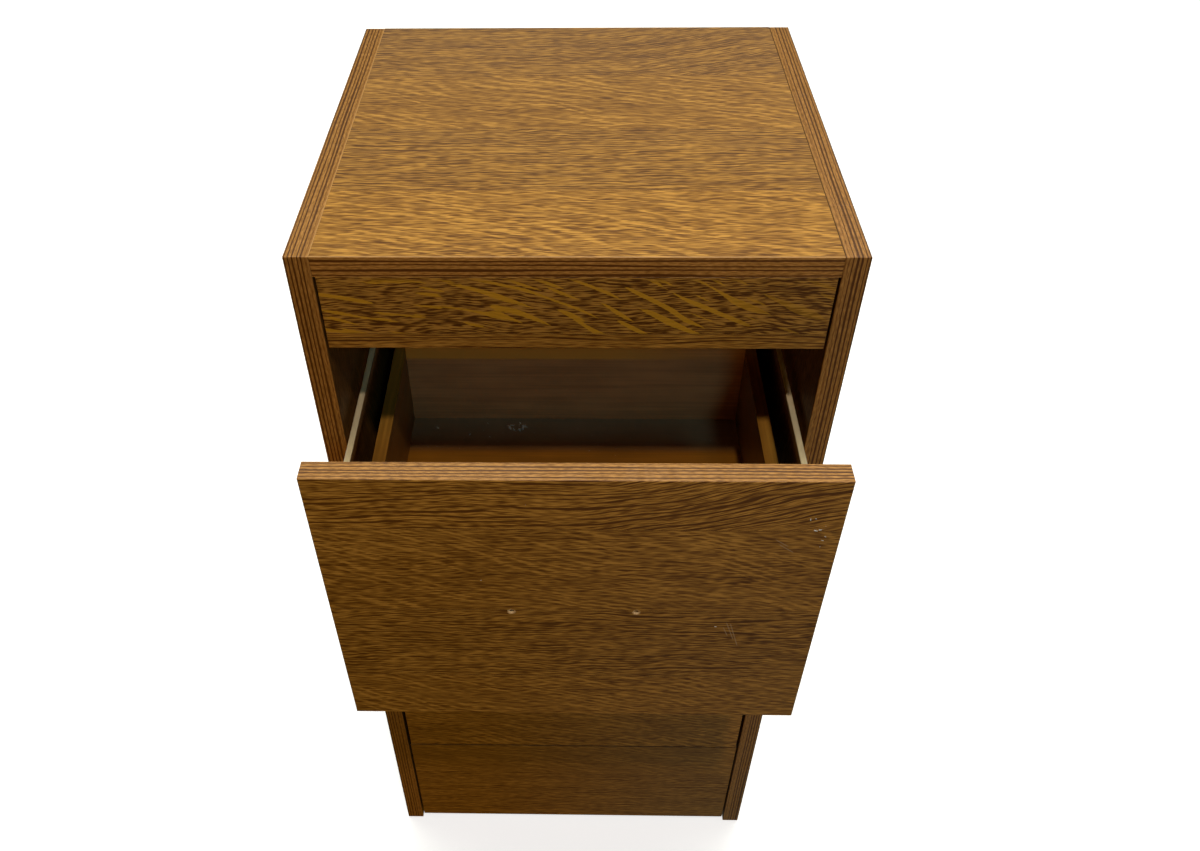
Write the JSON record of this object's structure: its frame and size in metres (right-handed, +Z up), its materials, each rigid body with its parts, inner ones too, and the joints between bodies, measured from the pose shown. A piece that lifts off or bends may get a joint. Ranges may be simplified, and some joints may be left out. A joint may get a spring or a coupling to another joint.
{
  "type": "drawer cabinet",
  "caption": "Floor-standing drawer pedestal in oak-look board: deep file drawers on roller runners, with low sides, rails above them and bare handle holes.",
  "frame": {"origin": "on the floor, in the middle of the part's box as it stands, upper drawer pulled open", "axes": "+Z up, -Y out of the drawers' fronts, +X to the right as seen from the front"},
  "size_m": [0.42, 0.542, 0.85],
  "materials": {
    "case_board": "satin oak-look laminate on chipboard",
    "front_board": "satin oak-look laminate on chipboard, coarse grain along the width",
    "drawer_board": "plain brown laminate on chipboard",
    "thin_sheet": "thin brown faced fibreboard",
    "rail_cream": "cream paint",
    "bracket_plastic": "brown moulded plastic",
    "runner_steel": "cream powder coat",
    "roller_plastic": "white nylon",
    "zinc_steel": "bright zinc plate",
    "screw_steel": "zinc plate",
    "cam_zinc": "bare zinc alloy",
    "dowel_beech": "plain beech"
  },
  "bodies": {
    "cabinet": {"side_panel_left": "case_board", "side_panel_right": "case_board", "top_board": "case_board", "bottom_board": "case_board", "back_panel": "thin_sheet", "fascia_panel": "front_board", "plinth_panel": "front_board", "corner_brackets": "zinc_steel", "corner_bracket_screws": "screw_steel", "carcass_cams": "cam_zinc", "carcass_cam_bolts": "screw_steel", "carcass_dowels": "dowel_beech", "upper_runner_channel_left": "runner_steel", "upper_runner_channel_right": "runner_steel", "lower_runner_channel_left": "runner_steel", "lower_runner_channel_right": "runner_steel", "runner_channel_screws": "screw_steel"},
    "upper_drawer": {"upper_front": "front_board", "upper_back": "drawer_board", "upper_bottom": "thin_sheet", "upper_side_left": "drawer_board", "upper_side_right": "drawer_board", "upper_rail_left": "rail_cream", "upper_rail_right": "rail_cream", "upper_runner_left": "runner_steel", "upper_runner_right": "runner_steel", "upper_rail_front_brackets": "bracket_plastic", "upper_rail_rear_brackets": "bracket_plastic", "upper_rail_bracket_screws": "screw_steel", "upper_side_cams": "cam_zinc", "upper_side_cam_bolts": "screw_steel", "upper_back_screws": "screw_steel", "upper_runner_screws": "screw_steel"},
    "upper_front_roller_left": {"upper_front_roller_left": "roller_plastic"},
    "upper_rear_roller_left": {"upper_rear_roller_left": "roller_plastic"},
    "upper_front_roller_right": {"upper_front_roller_right": "roller_plastic"},
    "upper_rear_roller_right": {"upper_rear_roller_right": "roller_plastic"},
    "lower_drawer": {"lower_front": "front_board", "lower_back": "drawer_board", "lower_bottom": "thin_sheet", "lower_side_left": "drawer_board", "lower_side_right": "drawer_board", "lower_rail_left": "rail_cream", "lower_rail_right": "rail_cream", "lower_runner_left": "runner_steel", "lower_runner_right": "runner_steel", "lower_rail_front_brackets": "bracket_plastic", "lower_rail_rear_brackets": "bracket_plastic", "lower_rail_bracket_screws": "screw_steel", "lower_side_cams": "cam_zinc", "lower_side_cam_bolts": "screw_steel", "lower_back_screws": "screw_steel", "lower_runner_screws": "screw_steel"},
    "lower_front_roller_left": {"lower_front_roller_left": "roller_plastic"},
    "lower_rear_roller_left": {"lower_rear_roller_left": "roller_plastic"},
    "lower_front_roller_right": {"lower_front_roller_right": "roller_plastic"},
    "lower_rear_roller_right": {"lower_rear_roller_right": "roller_plastic"}
  },
  "joints": [
    {"name": "upper_drawer_slide", "type": "slide", "parent": "cabinet", "child": "upper_drawer", "axis": [0, -1, 0], "range_m": [-0.137, 0.088]},
    {"name": "upper_front_roller_left_spin", "type": "hinge", "parent": "cabinet", "child": "upper_front_roller_left", "pos_m": [-0.185, -0.103, 0.53675], "axis": [1, 0, 0], "continuous": true},
    {"name": "upper_rear_roller_left_spin", "type": "hinge", "parent": "upper_drawer", "child": "upper_rear_roller_left", "pos_m": [-0.185, 0.033, 0.53485], "axis": [1, 0, 0], "continuous": true},
    {"name": "upper_front_roller_right_spin", "type": "hinge", "parent": "cabinet", "child": "upper_front_roller_right", "pos_m": [0.185, -0.103, 0.53675], "axis": [1, 0, 0], "continuous": true},
    {"name": "upper_rear_roller_right_spin", "type": "hinge", "parent": "upper_drawer", "child": "upper_rear_roller_right", "pos_m": [0.185, 0.033, 0.53485], "axis": [1, 0, 0], "continuous": true},
    {"name": "lower_drawer_slide", "type": "slide", "parent": "cabinet", "child": "lower_drawer", "axis": [0, -1, 0], "range_m": [0, 0.225]},
    {"name": "lower_front_roller_left_spin", "type": "hinge", "parent": "cabinet", "child": "lower_front_roller_left", "pos_m": [-0.185, -0.103, 0.243], "axis": [1, 0, 0], "continuous": true},
    {"name": "lower_rear_roller_left_spin", "type": "hinge", "parent": "lower_drawer", "child": "lower_rear_roller_left", "pos_m": [-0.185, 0.17, 0.2411], "axis": [1, 0, 0], "continuous": true},
    {"name": "lower_front_roller_right_spin", "type": "hinge", "parent": "cabinet", "child": "lower_front_roller_right", "pos_m": [0.185, -0.103, 0.243], "axis": [1, 0, 0], "continuous": true},
    {"name": "lower_rear_roller_right_spin", "type": "hinge", "parent": "lower_drawer", "child": "lower_rear_roller_right", "pos_m": [0.185, 0.17, 0.2411], "axis": [1, 0, 0], "continuous": true}
  ],
  "couplings": [
    {"joint": "upper_front_roller_left_spin", "follows": "upper_drawer_slide", "rad_per_m": 90.909},
    {"joint": "upper_rear_roller_left_spin", "follows": "upper_drawer_slide", "rad_per_m": 109.89},
    {"joint": "upper_front_roller_right_spin", "follows": "upper_drawer_slide", "rad_per_m": 90.909},
    {"joint": "upper_rear_roller_right_spin", "follows": "upper_drawer_slide", "rad_per_m": 109.89},
    {"joint": "lower_front_roller_left_spin", "follows": "lower_drawer_slide", "rad_per_m": 90.909},
    {"joint": "lower_rear_roller_left_spin", "follows": "lower_drawer_slide", "rad_per_m": 109.89},
    {"joint": "lower_front_roller_right_spin", "follows": "lower_drawer_slide", "rad_per_m": 90.909},
    {"joint": "lower_rear_roller_right_spin", "follows": "lower_drawer_slide", "rad_per_m": 109.89}
  ]
}
